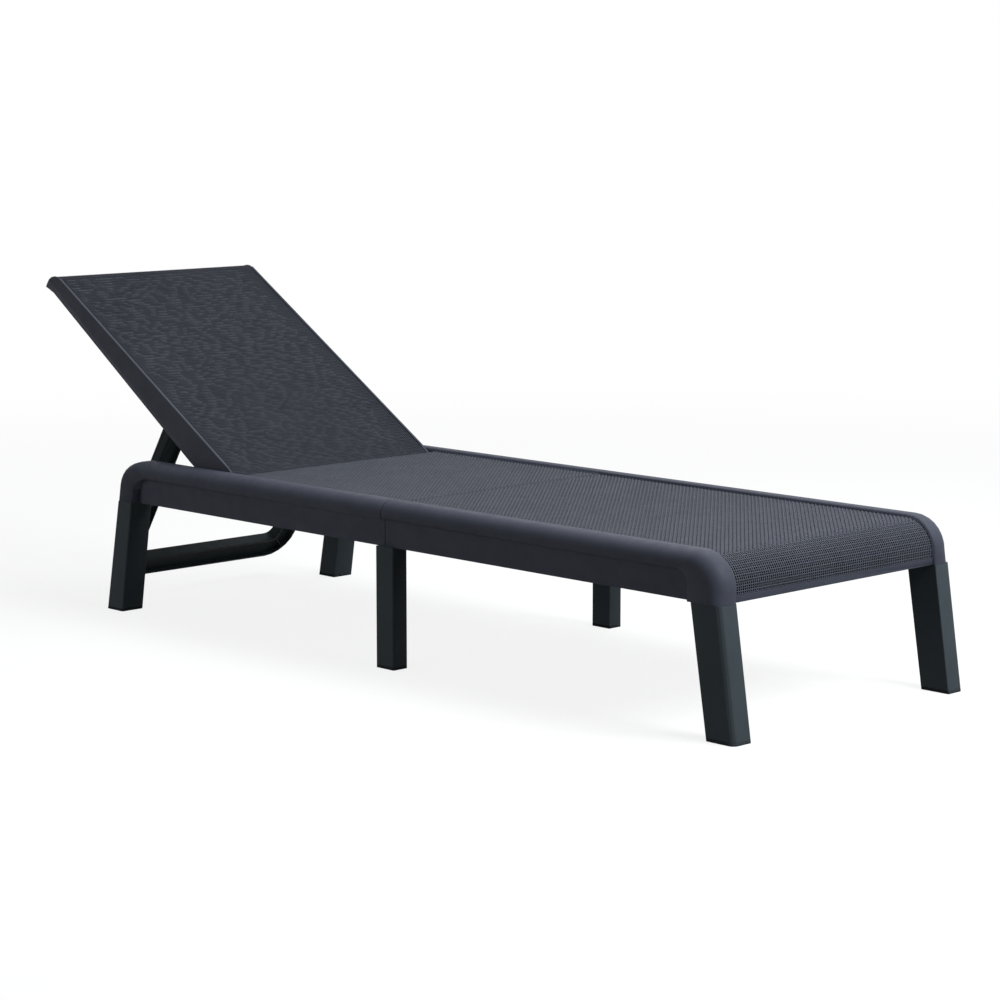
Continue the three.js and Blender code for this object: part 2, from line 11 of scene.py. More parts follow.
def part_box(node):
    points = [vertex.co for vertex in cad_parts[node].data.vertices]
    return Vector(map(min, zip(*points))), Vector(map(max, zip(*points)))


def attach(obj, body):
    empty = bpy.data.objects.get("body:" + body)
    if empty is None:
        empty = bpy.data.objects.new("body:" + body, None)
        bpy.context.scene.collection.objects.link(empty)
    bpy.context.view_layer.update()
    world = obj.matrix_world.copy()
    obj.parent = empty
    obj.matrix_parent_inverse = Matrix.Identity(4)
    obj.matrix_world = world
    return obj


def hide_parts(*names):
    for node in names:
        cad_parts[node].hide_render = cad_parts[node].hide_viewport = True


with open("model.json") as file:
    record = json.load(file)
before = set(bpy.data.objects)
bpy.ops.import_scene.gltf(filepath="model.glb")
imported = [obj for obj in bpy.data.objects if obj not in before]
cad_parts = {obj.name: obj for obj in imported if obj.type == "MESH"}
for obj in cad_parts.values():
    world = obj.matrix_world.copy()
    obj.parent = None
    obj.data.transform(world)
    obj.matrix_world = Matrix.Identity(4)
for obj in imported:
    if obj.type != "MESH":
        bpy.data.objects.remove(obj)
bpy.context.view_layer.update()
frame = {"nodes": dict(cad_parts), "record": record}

# Sizes of the bed, as in the CAD model

BED_LENGTH = 1.515
HEAD_HALF = 0.745
RAIL_INNER = 0.247
RIM_CHAMFER = 0.003
LEG_HEIGHT = 0.213
DECK_TOP = 0.287
DECK_START = 0.3075
FACE_SETBACK = 0.005
DECK_FACE = BED_LENGTH - FACE_SETBACK
DECK_BEND = 0.055
BEND_STEPS = 14
SKIN = 0.0035
HEAD_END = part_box("bed_foot")[1].x - BED_LENGTH

# Sizes of the backrest, as in the CAD model

HINGE = Vector((0.280, 0.0, 0.262))
RECLINE = math.radians(32)
BACK_LENGTH = 0.632
HINGE_RADIUS = 0.025
HINGE_TURN = math.radians(48)
NOSE_RADIUS = 0.027
NOSE_TURN = math.radians(62)
CURL_STEPS = 6

# Edges of the perforated sheets

SEAM_BORDER = 0.0022
HINGE_BORDER = 0.003
FOOT_STRIP = 0.011
SIDE_BORDER = 0.001
BACK_MESH_HALF = 0.2385
WINDOW_ABOVE = 0.001
WINDOW_BELOW = 0.0002

# Lattice: long bars, thin rows across them and ribs that stand a little higher

HOLE_PITCH = 0.0048
BAR_WIDTH = 0.0018
BAR_SUNK = 0.0011
BAR_DEPTH = 0.0042
ROW_PITCH = 0.00415
ROW_BAR = 0.0013
ROW_SUNK = 0.0013
RIB_BAR = 0.0018
RIB_SUNK = 0.0009
WEAVE_STEP = 2 * ROW_PITCH
ROUND_SIDES = 8
END_OVERLAP = 0.001

# Raised dashes on the lattice: short nubs on the deck and long slubs on the backrest

DASH_SIDES = 4
DASH_TAPER = 0.5
NUB_SIZE = Vector((0.0030, 0.0038, 0.0012))
NUB_SUNK = 0.0004
NUB_SPACING = 2 * HOLE_PITCH
NUB_BEND_STEPS = 3
SLUB_SIZE = Vector((0.0024, 0.0046, 0.0014))
SLUB_SUNK = 0.0006
SLUB_SHORTEST = 1.6
SLUB_LONGEST = 4.6
SLUB_COLUMNS = 6
SLUB_SPACING = SLUB_COLUMNS * HOLE_PITCH
SLUB_MARGIN = 2
SLUB_SEED = 3
NOSE_LENGTH = 0.030

# Shading: edges that turn by more than these angles stay sharp

CREASE_ANGLE = 36
ROUND_ANGLE = 72

# Distances under which two places count as one, when merging and when comparing

MERGE_DISTANCE = 0.00001
CLOSE = 0.0001

# The curve of the sRGB colour space

SRGB_KNEE = 0.04045
SRGB_SLOPE = 12.92
SRGB_OFFSET = 0.055
SRGB_POWER = 2.4

# Noises of the resins: clouds in the tone, an uneven sheen and the grain of the mould

RAMP_ENDS = (0.3, 0.7)
CLOUD_SCALE = 14
SHEEN_SCALE = 55
SHEEN_LESS = 0.05
SHEEN_MORE = 0.06
GRAIN_SCALE = 2600
GRAIN_DEPTH = 0.00015

# Fit of the render to the photograph

CAMERA_PLACE = (3.7175, -3.506, 1.021)
CAMERA_AZIMUTH = 45.83
CAMERA_ELEVATION = 8.56
CAMERA_LENS = 102.96
CAMERA_SENSOR = 36.0
CAMERA_CLIP = (0.05, 200.0)

# Studio: each softbox has a place, an aim, a width, a height and a power

WHITE = (1.0, 1.0, 1.0, 1.0)
FILL_COLOUR = (0.93, 0.96, 1.0, 1.0)
FILL_STRENGTH = 0.09
LAMP_COLOUR = (0.95, 0.975, 1.0)
SOFTBOXES = {
    "top_softbox": ((0.2, 1.2, 2.8), (0.0, 0.0, 0.2), 3.2, 2.0, 76),
    "foot_softbox": ((2.9, 0.4, 2.4), (0.5, 0.0, 0.2), 1.6, 1.2, 160),
    "side_softbox": ((-1.2, -3.6, 1.2), (-0.2, 0.0, 0.2), 3.0, 1.6, 33),
}
FLOOR_REACH = 30.0
FLOOR_PALE = (0.92, 0.92, 0.92, 1.0)
FLOOR_DULL = (0.06, 0.06, 0.06, 1.0)
FLOOR_ROUGHNESS = 0.9
FLOOR_GLOSS = 0.1
FLOOR_GLOW = 0.85
FLOOR_FADE = (1.0, 4.5)


# Small helpers


def in_row(x, y, z):
    """A place along the bed, from the head end of its rails, in the row frame."""
    return Vector((x + HEAD_END, y, z))


def on_backrest(reach, y, rise):
    """A place on the reclined backrest, from its reach along it and its rise off the hinge."""
    turned = Matrix.Rotation(RECLINE, 4, "Y") @ Vector((-reach, y, rise))
    return in_row(*(turned + HINGE))


def linear(*srgb):
    """The linear colour of an sRGB colour in 0 to 255."""

    def straighten(share):
        if share < SRGB_KNEE:
            return share / SRGB_SLOPE
        return ((share + SRGB_OFFSET) / (1 + SRGB_OFFSET)) ** SRGB_POWER

    return (*(straighten(value / 255) for value in srgb), 1.0)


def new_piece(name, mesh):
    """An object of a mesh, in the scene."""
    piece = bpy.data.objects.new(name, mesh)
    bpy.context.scene.collection.objects.link(piece)
    return piece


def finish_piece(piece, body, slot, material, *replaced):
    """Gives a piece its material, ties it to its body and hides the CAD nodes that it replaces.
    """
    piece.data.materials.clear()
    piece.data.materials.append(material)
    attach(piece, body)
    if replaced:
        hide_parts(*replaced)


def soften(mesh, degrees=CREASE_ANGLE):
    """Smooth shading, broken at the edges that turn more sharply."""
    mesh.shade_smooth()
    mesh.set_sharp_from_angle(angle=math.radians(degrees))


# Materials


class Nodes:
    """A material's node tree, with short calls to add and join its nodes."""

    def __init__(self, name):
        self.material = bpy.data.materials.new(name)
        self.material.use_nodes = True
        self.tree = self.material.node_tree
        self.shader = self.tree.nodes["Principled BSDF"]
        self.place = self.add("ShaderNodeTexCoord").outputs["Object"]

    def add(self, kind, settings=None, **values):
        """A node with its settings, and the values of its sockets."""
        node = self.tree.nodes.new(kind)
        for key, value in (settings or {}).items():
            setattr(node, key, value)
        for key, value in values.items():
            node.inputs[key.replace("_", " ")].default_value = value
        return node

    def join(self, output, target):
        self.tree.links.new(output, target)

    def set(self, **values):
        """Sets plain values on the shader's sockets."""
        for key, value in values.items():
            self.shader.inputs[key.replace("_", " ")].default_value = value

    def noise(self, scale, detail=2.0, stretch=None):
        """A noise in the piece's own coordinates."""
        place = self.place
        if stretch:
            mapping = self.add("ShaderNodeMapping", Scale=stretch)
            self.join(place, mapping.inputs["Vector"])
            place = mapping.outputs["Vector"]
        node = self.add("ShaderNodeTexNoise", Scale=scale, Detail=detail)
        self.join(place, node.inputs["Vector"])
        return node.outputs["Fac"]

    def ramp(self, source, target, low, high):
        """Leads a noise into a shader socket as colours or numbers between low and high."""
        node = self.add("ShaderNodeValToRGB")
        elements = node.color_ramp.elements
        for element, position, value in zip(elements, RAMP_ENDS, (low, high)):
            element.position = position
            element.color = value if isinstance(value, tuple) else (value, value, value, 1.0)
        self.join(source, node.inputs["Fac"])
        self.join(node.outputs["Color"], self.shader.inputs[target])

    def bump(self, source, strength, distance):
        """Leads a noise into the shader's normal as small relief."""
        node = self.add("ShaderNodeBump", Strength=strength, Distance=distance)
        self.join(source, node.inputs["Height"])
        self.join(node.outputs["Normal"], self.shader.inputs["Normal"])


def moulded_resin(name, dark, light, roughness, gloss, grain=0.25):
    """Satin resin: a cloudy tone, uneven gloss and the fine grain of an etched mould."""
    nodes = Nodes(name)
    nodes.ramp(nodes.noise(CLOUD_SCALE, detail=4.0), "Base Color", dark, light)
    sheen = nodes.noise(SHEEN_SCALE, detail=3.0)
    nodes.ramp(sheen, "Roughness", roughness - SHEEN_LESS, roughness + SHEEN_MORE)
    nodes.bump(nodes.noise(GRAIN_SCALE), grain, GRAIN_DEPTH)
    nodes.set(Specular_IOR_Level=gloss)
    return nodes.material


def foot_rubber(name, dark, light):
    """Dull dark rubber, a little scuffed."""
    nodes = Nodes(name)
    nodes.ramp(nodes.noise(scale=90, detail=5.0), "Base Color", dark, light)
    nodes.ramp(nodes.noise(scale=40), "Roughness", low=0.75, high=0.9)
    nodes.bump(nodes.noise(scale=1500), strength=0.4, distance=0.0002)
    nodes.set(Specular_IOR_Level=0.05)
    return nodes.material


def drawn_steel(name, dark, light):
    """Plain stainless rod and wire, with drawing lines across the bed."""
    nodes = Nodes(name)
    lines = nodes.noise(scale=400, detail=3.0, stretch=(1.0, 0.05, 1.0))
    nodes.ramp(lines, "Base Color", dark, light)
    nodes.ramp(nodes.noise(scale=60), "Roughness", low=0.28, high=0.42)
    nodes.bump(lines, strength=0.15, distance=0.0001)
    nodes.set(Metallic=1.0)
    return nodes.material


rail_resin = moulded_resin(
    "rail_resin", linear(52, 55, 65), linear(57, 60, 70), roughness=0.58, gloss=0.1
)
# The deck lattice is the rail resin made lighter: painted light on the seat
deck_lattice_painted_light = moulded_resin(
    "deck_lattice_painted_light", linear(60, 63, 71), linear(65, 68, 76), roughness=0.5, gloss=0.1, grain=0.1
)
deck_weave = moulded_resin(
    "deck_weave", linear(53, 56, 64), linear(58, 61, 69), roughness=0.5, gloss=0.1, grain=0.1
)
# The backrest's lattice and slubs are its resin made darker: painted shade of the deep holes
# between the bars
back_lattice_painted_shade = moulded_resin(
    "back_lattice_painted_shade", linear(42, 45, 52), linear(47, 50, 57), roughness=0.55, gloss=0.08, grain=0.1
)
back_slubs_painted_shade = moulded_resin(
    "back_slubs_painted_shade", linear(47, 50, 58), linear(52, 55, 63), roughness=0.55, gloss=0.08, grain=0.1
)
back_resin = moulded_resin(
    "back_resin", linear(54, 57, 66), linear(59, 62, 71), roughness=0.55, gloss=0.1
)
leg_resin = moulded_resin(
    "leg_resin", linear(50, 57, 61), linear(54, 61, 65), roughness=0.48, gloss=0.06
)
# The prop is the leg resin made much darker: painted shade of the seat above it
prop_resin_painted_shade = moulded_resin(
    "prop_resin_painted_shade", linear(25, 32, 35), linear(29, 36, 39), roughness=0.5, gloss=0.05
)
bracket_resin = moulded_resin(
    "bracket_resin", linear(40, 42, 46), linear(46, 48, 52), roughness=0.55, gloss=0.1
)
cap_rubber = foot_rubber("cap_rubber", linear(34, 39, 42), linear(44, 49, 52))
pin_steel = drawn_steel("pin_steel", linear(140, 143, 146), linear(176, 178, 181))


# Copies of the CAD's mouldings, with smooth rounds


def cad_copy(name, node):
    """A merged and smoothly shaded copy of a CAD node."""
    shape = bmesh.new()
    shape.from_mesh(frame["nodes"][node].data)
    bmesh.ops.remove_doubles(shape, verts=shape.verts, dist=MERGE_DISTANCE)
    mesh = bpy.data.meshes.new(name)
    shape.to_mesh(mesh)
    shape.free()
    soften(mesh)
    return new_piece(name, mesh)


def keep_flats(piece):
    """Leaves the shading of the large flats flat beside the rounds."""
    weight = piece.modifiers.new("flats", "WEIGHTED_NORMAL")
    weight.keep_sharp = True


def round_rim(piece):
    """Shades the narrow chamfer along the inside of the rails as a round."""
    shape = bmesh.new()
    shape.from_mesh(piece.data)
    for edge in shape.edges:
        one, other = (vert.co for vert in edge.verts)
        lengthwise = abs(one.y - other.y) < CLOSE < abs(one.x - other.x)
        on_rim = RAIL_INNER - CLOSE < abs(one.y) < RAIL_INNER + RIM_CHAMFER + CLOSE
        if lengthwise and on_rim and edge.is_convex:
            edge.smooth = True
    shape.to_mesh(piece.data)
    shape.free()


# Lines that the sheets follow, as pairs of a point and its outward normal


def flat_line(from_x, to_x):
    """The flat of the deck between two places along the bed."""
    return [(in_row(x, 0, DECK_TOP), Vector((0, 0, 1))) for x in (from_x, to_x)]


def waterfall_line(from_x, to_z):
    """The flat of the deck, its bend at the foot end and its fall down to a height."""
    centre = in_row(DECK_FACE - DECK_BEND, 0, DECK_TOP - DECK_BEND)
    line = flat_line(from_x, DECK_FACE - DECK_BEND)
    for step in range(1, BEND_STEPS + 1):
        turn = math.pi / 2 * step / BEND_STEPS
        normal = Vector((math.sin(turn), 0, math.cos(turn)))
        line.append((centre + normal * DECK_BEND, normal))
    line.append((in_row(DECK_FACE, 0, to_z), Vector((1, 0, 0))))
    return line


def back_line():
    """The top of the backrest, from the roll at its head to the curl over its hinge."""
    line = []

    def arc(reach, rise, radius, from_turn, to_turn):
        for step in range(CURL_STEPS + 1):
            turn = from_turn + (to_turn - from_turn) * step / CURL_STEPS
            across, up = math.sin(turn), math.cos(turn)
            point = on_backrest(reach + radius * across, 0, rise + radius * up)
            line.append((point, Matrix.Rotation(RECLINE, 3, "Y") @ Vector((-across, 0, up))))

    arc(BACK_LENGTH, HINGE_RADIUS - NOSE_RADIUS, NOSE_RADIUS, NOSE_TURN, 0)
    arc(0, 0, HINGE_RADIUS, 0, -HINGE_TURN)
    return line


def steps_along(line, skipped, pitch):
    """The stretch of a line that starts after a skipped length and holds whole pitches."""
    lengths = [(end[0] - start[0]).length for start, end in zip(line, line[1:])]
    left = math.floor((sum(lengths) - skipped) / pitch) * pitch
    stretch = []
    for (start, normal), (end, next_normal), length in zip(line, line[1:], lengths):
        ahead = (end - start).normalized()
        if skipped >= length:
            skipped -= length
            continue
        stretch.append((start + ahead * skipped, normal))
        if left <= length - skipped:
            stretch.append((start + ahead * (skipped + left), next_normal))
            break
        left -= length - skipped
        skipped = 0
    return stretch


# Plain shapes along a line


def swept_strip(name, line, from_y, to_y, drop, depth):
    """A closed flat strip under a line, from a drop below it to a depth."""
    shape = bmesh.new()
    rings = []
    corners = [(to_y, drop), (from_y, drop), (from_y, depth), (to_y, depth)]
    for point, normal in line:
        places = [point + Vector((0, y, 0)) - normal * down for y, down in corners]
        rings.append([shape.verts.new(place) for place in places])
    for near, far in zip(rings, rings[1:]):
        for side in range(len(corners)):
            after = (side + 1) % len(corners)
            shape.faces.new((near[side], near[after], far[after], far[side]))
    shape.faces.new(reversed(rings[0]))
    shape.faces.new(rings[-1])
    bmesh.ops.recalc_face_normals(shape, faces=shape.faces)
    mesh = bpy.data.meshes.new(name)
    shape.to_mesh(mesh)
    shape.free()
    return new_piece(name, mesh)


def line_path(name, line, drop):
    """A chain of edges along a line, a drop below it."""
    mesh = bpy.data.meshes.new(name)
    points = [point - normal * drop for point, normal in line]
    mesh.from_pydata(points, [(i, i + 1) for i in range(len(points) - 1)], [])
    return new_piece(name, mesh)


# Geometry node trees that lay out the bars, rows and dashes


def new_tree(name, **inputs):
    """A geometry node tree with one geometry in and out, and the named inputs."""
    tree = bpy.data.node_groups.new(name, "GeometryNodeTree")
    tree.interface.new_socket("Geometry", in_out="INPUT", socket_type="NodeSocketGeometry")
    for label, kind in inputs.items():
        tree.interface.new_socket(label, in_out="INPUT", socket_type=kind)
    tree.interface.new_socket("Geometry", in_out="OUTPUT", socket_type="NodeSocketGeometry")
    return tree, tree.nodes.new("NodeGroupInput"), tree.nodes.new("NodeGroupOutput")


def close_tree(tree, source, entry, leave):
    """Realizes a tree's instances, sets their material and leads them out."""
    realize = tree.nodes.new("GeometryNodeRealizeInstances")
    paint = tree.nodes.new("GeometryNodeSetMaterial")
    tree.links.new(source, realize.inputs["Geometry"])
    tree.links.new(realize.outputs["Geometry"], paint.inputs["Geometry"])
    tree.links.new(entry.outputs["Material"], paint.inputs["Material"])
    tree.links.new(paint.outputs["Geometry"], leave.inputs["Geometry"])


def path_points(tree, entry):
    """Points a pitch apart along a path, and the turn that faces each one along it."""
    curve = tree.nodes.new("GeometryNodeMeshToCurve")
    points = tree.nodes.new("GeometryNodeCurveToPoints")
    points.mode = "LENGTH"
    turn = tree.nodes.new("FunctionNodeAlignRotationToVector")
    turn.axis = "X"
    turn.pivot_axis = "Y"
    tree.links.new(entry.outputs["Geometry"], curve.inputs["Mesh"])
    tree.links.new(curve.outputs["Curve"], points.inputs["Curve"])
    tree.links.new(entry.outputs["Pitch"], points.inputs["Length"])
    tree.links.new(points.outputs["Tangent"], turn.inputs["Vector"])
    return points.outputs["Points"], turn.outputs["Rotation"]


def side_by_side_tree():
    """Repeats a bar across the bed, a pitch apart."""
    tree, entry, leave = new_tree(
        "side_by_side",
        Count="NodeSocketInt",
        Pitch="NodeSocketVector",
        Material="NodeSocketMaterial",
    )
    row = tree.nodes.new("GeometryNodeMeshLine")
    row.inputs["Start Location"].default_value = (0.0, 0.0, 0.0)
    place = tree.nodes.new("GeometryNodeInstanceOnPoints")
    tree.links.new(entry.outputs["Count"], row.inputs["Count"])
    tree.links.new(entry.outputs["Pitch"], row.inputs["Offset"])
    tree.links.new(row.outputs["Mesh"], place.inputs["Points"])
    tree.links.new(entry.outputs["Geometry"], place.inputs["Instance"])
    close_tree(tree, place.outputs["Instances"], entry, leave)
    return tree


def along_path_tree():
    """Lays round bars across a path, a pitch apart along it."""
    tree, entry, leave = new_tree(
        "along_path",
        Pitch="NodeSocketFloat",
        Sides="NodeSocketInt",
        Reach="NodeSocketFloat",
        Width="NodeSocketFloat",
        Depth="NodeSocketFloat",
        Material="NodeSocketMaterial",
    )
    link = tree.links.new
    points, turn = path_points(tree, entry)

    # A rod one wide, laid across the bed
    rod = tree.nodes.new("GeometryNodeMeshCylinder")
    rod.fill_type = "NGON"
    rod.inputs["Radius"].default_value = 0.5
    laid = tree.nodes.new("GeometryNodeTransform")
    laid.inputs["Rotation"].default_value = (math.pi / 2, 0.0, 0.0)
    link(entry.outputs["Sides"], rod.inputs["Vertices"])
    link(entry.outputs["Reach"], rod.inputs["Depth"])
    link(rod.outputs["Mesh"], laid.inputs["Geometry"])

    # Brought to the width and depth of the bar
    section = tree.nodes.new("ShaderNodeCombineXYZ")
    section.inputs["Y"].default_value = 1.0
    bar = tree.nodes.new("GeometryNodeTransform")
    link(entry.outputs["Width"], section.inputs["X"])
    link(entry.outputs["Depth"], section.inputs["Z"])
    link(laid.outputs["Geometry"], bar.inputs["Geometry"])
    link(section.outputs["Vector"], bar.inputs["Scale"])

    place = tree.nodes.new("GeometryNodeInstanceOnPoints")
    link(points, place.inputs["Points"])
    link(turn, place.inputs["Rotation"])
    link(bar.outputs["Geometry"], place.inputs["Instance"])
    close_tree(tree, place.outputs["Instances"], entry, leave)
    return tree


def crossings(tree, entry):
    """A row of points across each point of a path, which keep its turn as an attribute."""
    link = tree.links.new
    points, turn = path_points(tree, entry)
    kept = tree.nodes.new("GeometryNodeStoreNamedAttribute")
    kept.data_type = "QUATERNION"
    kept.inputs["Name"].default_value = "turn"
    link(points, kept.inputs["Geometry"])
    link(turn, kept.inputs["Value"])

    row = tree.nodes.new("GeometryNodeMeshLine")
    link(entry.outputs["Count"], row.inputs["Count"])
    link(entry.outputs["Start"], row.inputs["Start Location"])
    link(entry.outputs["Step"], row.inputs["Offset"])

    place = tree.nodes.new("GeometryNodeInstanceOnPoints")
    realize = tree.nodes.new("GeometryNodeRealizeInstances")
    link(kept.outputs["Geometry"], place.inputs["Points"])
    link(turn, place.inputs["Rotation"])
    link(row.outputs["Mesh"], place.inputs["Instance"])
    link(place.outputs["Instances"], realize.inputs["Geometry"])
    return realize.outputs["Geometry"]


def dash_shape(tree, entry):
    """A square block that tapers upwards, brought to the size of a dash."""
    block = tree.nodes.new("GeometryNodeMeshCone")
    block.fill_type = "NGON"
    corner = math.sqrt(0.5)  # from the middle of a square one wide
    block.inputs["Vertices"].default_value = DASH_SIDES
    block.inputs["Radius Top"].default_value = corner * DASH_TAPER
    block.inputs["Radius Bottom"].default_value = corner
    block.inputs["Depth"].default_value = 1.0
    square = tree.nodes.new("GeometryNodeTransform")
    square.inputs["Rotation"].default_value = (0.0, 0.0, math.pi / DASH_SIDES)
    dash = tree.nodes.new("GeometryNodeTransform")
    tree.links.new(block.outputs["Mesh"], square.inputs["Geometry"])
    tree.links.new(square.outputs["Geometry"], dash.inputs["Geometry"])
    tree.links.new(entry.outputs["Size"], dash.inputs["Scale"])
    return dash.outputs["Geometry"]


def random_value(tree, entry, kind, low, high, result):
    """The least, the most and the result of a random value for each point, as sockets.

    Several sockets of this node share a name, so they are found by their numbers.
    """
    index = tree.nodes.new("GeometryNodeInputIndex")
    node = tree.nodes.new("FunctionNodeRandomValue")
    node.data_type = kind
    tree.links.new(index.outputs["Index"], node.inputs["ID"])
    tree.links.new(entry.outputs["Seed"], node.inputs["Seed"])
    return node.inputs[low], node.inputs[high], node.outputs[result]


def weave_tree():
    """Lays raised dashes along the rows of a path, shifted and stretched unevenly."""
    tree, entry, leave = new_tree(
        "weave",
        Pitch="NodeSocketFloat",
        Count="NodeSocketInt",
        Start="NodeSocketVector",
        Step="NodeSocketVector",
        Size="NodeSocketVector",
        Shift="NodeSocketVector",
        Shortest="NodeSocketFloat",
        Longest="NodeSocketFloat",
        Seed="NodeSocketInt",
        Material="NodeSocketMaterial",
    )
    link = tree.links.new

    # The points, each shifted along its row
    least, most, shift = random_value(tree, entry, "FLOAT_VECTOR", low=0, high=1, result=0)
    least.default_value = (0.0, 0.0, 0.0)
    link(entry.outputs["Shift"], most)
    strewn = tree.nodes.new("GeometryNodeSetPosition")
    link(crossings(tree, entry), strewn.inputs["Geometry"])
    link(shift, strewn.inputs["Offset"])

    # The stretch of each dash along its row
    least, most, length = random_value(tree, entry, "FLOAT", low=2, high=3, result=1)
    link(entry.outputs["Shortest"], least)
    link(entry.outputs["Longest"], most)
    stretch = tree.nodes.new("ShaderNodeCombineXYZ")
    stretch.inputs["X"].default_value = 1.0
    stretch.inputs["Z"].default_value = 1.0
    link(length, stretch.inputs["Y"])

    # The turn that the crossings keep
    turn = tree.nodes.new("GeometryNodeInputNamedAttribute")
    turn.data_type = "QUATERNION"
    turn.inputs["Name"].default_value = "turn"

    place = tree.nodes.new("GeometryNodeInstanceOnPoints")
    link(strewn.outputs["Geometry"], place.inputs["Points"])
    link(stretch.outputs["Vector"], place.inputs["Scale"])
    link(turn.outputs["Attribute"], place.inputs["Rotation"])
    link(dash_shape(tree, entry), place.inputs["Instance"])
    close_tree(tree, place.outputs["Instances"], entry, leave)
    return tree


side_by_side = side_by_side_tree()
along_path = along_path_tree()
weave = weave_tree()


def grown(name, base, tree, values):
    """The plain mesh that a node tree grows from a base, which is then removed."""
    modifier = base.modifiers.new(tree.name, "NODES")
    modifier.node_group = tree
    for item in tree.interface.items_tree:
        if item.in_out == "INPUT" and item.name in values:
            modifier[item.identifier] = values[item.name]
    graph = bpy.context.evaluated_depsgraph_get()
    mesh = bpy.data.meshes.new_from_object(base.evaluated_get(graph), depsgraph=graph)
    mesh.name = name
    base.modifiers.remove(modifier)
    bpy.data.objects.remove(base)
    return mesh


def one_piece(name, meshes):
    """One piece of several meshes, shaded round."""
    shape = bmesh.new()
    for mesh in meshes:
        shape.from_mesh(mesh)
        bpy.data.meshes.remove(mesh)
    joined = bpy.data.meshes.new(name)
    shape.to_mesh(joined)
    shape.free()
    soften(joined, ROUND_ANGLE)
    return new_piece(name, joined)


# Perforated sheets


def columns(half):
    """The number of long bars of a sheet, and the place of the first."""
    count = int(2 * half / HOLE_PITCH)
    return count, -(count - 1) / 2 * HOLE_PITCH


def lattice(name, line, half, material):
    """A perforated sheet along a line: long bars side by side, with rows and ribs across them."""
    count, first = columns(half)
    from_y, to_y = first - BAR_WIDTH / 2, first + BAR_WIDTH / 2
    bar = swept_strip(name + "_bar", line, from_y, to_y, BAR_SUNK, BAR_DEPTH)
    repeat = {"Count": count, "Pitch": (0.0, HOLE_PITCH, 0.0), "Material": material}
    meshes = [grown(name + "_bars", bar, side_by_side, repeat)]
    for part, start, sunk, section in (
        ("ribs", 0, RIB_SUNK, RIB_BAR),
        ("rows", ROW_PITCH, ROW_SUNK, ROW_BAR),
    ):
        stretch = steps_along(line, start, WEAVE_STEP)
        path = line_path(f"{name}_{part}_path", stretch, sunk + section / 2)
        across = {
            "Pitch": WEAVE_STEP,
            "Sides": ROUND_SIDES,
            "Reach": 2 * half + END_OVERLAP,
            "Width": section,
            "Depth": section,
            "Material": material,
        }
        meshes.append(grown(f"{name}_{part}", path, along_path, across))
    return one_piece(name, meshes)


def dashes(name, line, start, sunk, values):
    """Raised dashes over every second row of a line, from a length along it on."""
    stretch = steps_along(line, start, WEAVE_STEP)
    path = line_path(name + "_path", stretch, sunk + values["Size"].z / 2)
    return grown(name, path, weave, {"Pitch": WEAVE_STEP, **values})


def nubs(name, line, half, material):
    """Even nubs on every other crossing, changing places from row to row."""
    count, first = columns(half)
    meshes = []
    for turn in (0, 1):
        values = {
            "Count": (count - turn + 1) // 2,
            "Start": (0.0, first + turn * HOLE_PITCH, 0.0),
            "Step": (0.0, NUB_SPACING, 0.0),
            "Size": NUB_SIZE,
            "Shift": (0.0, 0.0, 0.0),
            "Shortest": 1.0,
            "Longest": 1.0,
            "Seed": 0,
            "Material": material,
        }
        meshes.append(dashes(f"{name}_{turn}", line, turn * ROW_PITCH, NUB_SUNK, values))
    return meshes


def slubs(name, line, from_length, half, material):
    """Slubs of uneven length, strewn over the rows from a length along the line on."""
    count, first = columns(half)
    start = math.ceil(from_length / WEAVE_STEP) * WEAVE_STEP + ROW_PITCH
    values = {
        "Count": (count - 2 * SLUB_MARGIN) // SLUB_COLUMNS,
        "Start": (0.0, first + SLUB_MARGIN * HOLE_PITCH, 0.0),
        "Step": (0.0, SLUB_SPACING, 0.0),
        "Size": SLUB_SIZE,
        "Shift": (0.0, SLUB_SPACING, 0.0),
        "Shortest": SLUB_SHORTEST,
        "Longest": SLUB_LONGEST,
        "Seed": SLUB_SEED,
        "Material": material,
    }
    return [dashes(name, line, start, SLUB_SUNK, values)]


def cut_window(piece, line, half):
    """Opens the sheet of a moulding along a line, for its lattice."""
    cutter = swept_strip("window", line, -half, half, -WINDOW_ABOVE, SKIN + WINDOW_BELOW)
    cut = piece.modifiers.new("window", "BOOLEAN")
    cut.solver = "EXACT"
    cut.object = cutter
    graph = bpy.context.evaluated_depsgraph_get()
    mesh = bpy.data.meshes.new_from_object(piece.evaluated_get(graph), depsgraph=graph)
    piece.modifiers.clear()
    piece.data = mesh
    bpy.data.objects.remove(cutter)
    soften(mesh)


def perforated(node, body, line, half, resins, raised):
    """A moulding whose sheet is opened along a line and filled with the fine lattice."""
    # The lattice tone is painted light on the deck and painted shade on the backrest, whose slubs
    # are painted shade as well
    moulding_resin, ground_resin, weave_resin = resins
    moulding = cad_copy(node + "_moulding", node)
    cut_window(moulding, line, half)
    round_rim(moulding)
    keep_flats(moulding)
    finish_piece(moulding, body, "moulding", moulding_resin, node)
    sheet = lattice(node + "_lattice", line, half, ground_resin)
    finish_piece(sheet, body, "moulding", ground_resin)
    relief = one_piece(node + "_weave", raised)
    finish_piece(relief, body, "moulding", weave_resin)


# Camera


def photo_camera():
    """The camera of the photograph, from the camera fit."""
    lens = bpy.data.cameras.new("photo_camera")
    lens.lens = CAMERA_LENS
    lens.sensor_width = CAMERA_SENSOR
    lens.clip_start, lens.clip_end = CAMERA_CLIP
    camera = bpy.data.objects.new("photo_camera", lens)
    camera.location = CAMERA_PLACE
    tilt = math.radians(90 - CAMERA_ELEVATION)
    camera.rotation_euler = (tilt, 0.0, math.radians(CAMERA_AZIMUTH))
    bpy.context.scene.collection.objects.link(camera)
    bpy.context.scene.camera = camera


photo_camera()


